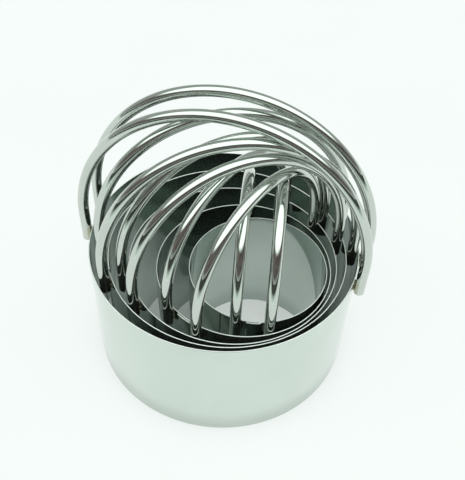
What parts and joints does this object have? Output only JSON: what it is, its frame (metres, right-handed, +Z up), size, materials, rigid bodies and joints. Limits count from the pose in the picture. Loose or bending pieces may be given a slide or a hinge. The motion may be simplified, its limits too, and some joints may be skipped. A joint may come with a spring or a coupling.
{
  "type": "nested round pastry cutter set",
  "caption": "Nested round pastry cutters: open polished steel bands with cutting lower edges, each lifted by a handle of twin arched wires welded to its outside.",
  "frame": {"origin": "on the largest band's axis, at the surface that the set stands on", "axes": "+Z up along the bands' axes; -Y towards the front, where the nested bands lie closest together"},
  "size_m": [0.1028, 0.0952, 0.1073],
  "materials": {
    "band_steel": "mirror-polished stainless sheet",
    "wire_steel": "bright polished stainless wire"
  },
  "bodies": {
    "smallest_cutter": {"smallest_band": "band_steel", "smallest_rear_wire": "wire_steel", "smallest_front_wire": "wire_steel"},
    "small_cutter": {"small_band": "band_steel", "small_rear_wire": "wire_steel", "small_front_wire": "wire_steel"},
    "middle_cutter": {"middle_band": "band_steel", "middle_rear_wire": "wire_steel", "middle_front_wire": "wire_steel"},
    "large_cutter": {"large_band": "band_steel", "large_rear_wire": "wire_steel", "large_front_wire": "wire_steel"},
    "largest_cutter": {"largest_band": "band_steel", "largest_rear_wire": "wire_steel", "largest_front_wire": "wire_steel"}
  },
  "joints": [
    {"name": "small_lift_off", "type": "slide", "parent": "smallest_cutter", "child": "small_cutter", "axis": [0, 0, 1], "range_m": [0, 0.09]},
    {"name": "middle_lift_off", "type": "slide", "parent": "small_cutter", "child": "middle_cutter", "axis": [0, 0, 1], "range_m": [0, 0.096]},
    {"name": "large_lift_off", "type": "slide", "parent": "middle_cutter", "child": "large_cutter", "axis": [0, 0, 1], "range_m": [0, 0.103]},
    {"name": "largest_lift_off", "type": "slide", "parent": "large_cutter", "child": "largest_cutter", "axis": [0, 0, 1], "range_m": [0, 0.108]}
  ]
}
